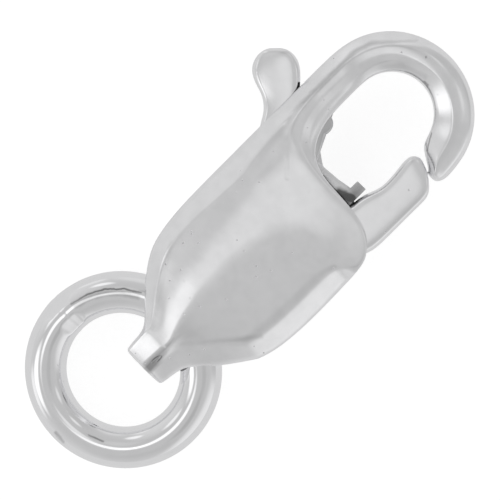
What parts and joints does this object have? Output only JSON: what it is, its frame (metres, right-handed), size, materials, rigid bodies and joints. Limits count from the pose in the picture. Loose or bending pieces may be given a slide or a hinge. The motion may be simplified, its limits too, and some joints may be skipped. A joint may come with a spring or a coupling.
{
  "type": "lobster clasp",
  "caption": "Polished silver trigger lobster clasp: domed claw body with a hook, a sprung lever with a thumb knob that opens the gate, and a closed jump ring through the tail eye.",
  "frame": {"origin": "middle of the whole clasp's box, on the surface that its flat back lies on", "axes": "+Y from the jump ring towards the hook, +X towards the gate arm, +Z out of the front face"},
  "size_m": [0.0062, 0.0152, 0.0029],
  "materials": {
    "body_silver": "polished sterling silver",
    "lever_silver": "polished sterling silver",
    "pin_silver": "polished sterling silver",
    "spring_steel": "dark spring steel",
    "ring_silver": "polished sterling silver wire"
  },
  "bodies": {
    "claw": {"claw_body": "body_silver", "pivot_pin": "pin_silver", "jump_ring": "ring_silver"},
    "lever": {"trigger_lever": "lever_silver", "leaf_spring": "spring_steel"}
  },
  "joints": [
    {"name": "lever_hinge", "type": "hinge", "parent": "claw", "child": "lever", "pos_m": [0.00047, 0.00135, 0.00145], "axis": [0, 0, 1], "range_deg": [0, 25], "stiffness_Nm_per_rad": 0.002, "springref_deg": -20.05}
  ]
}
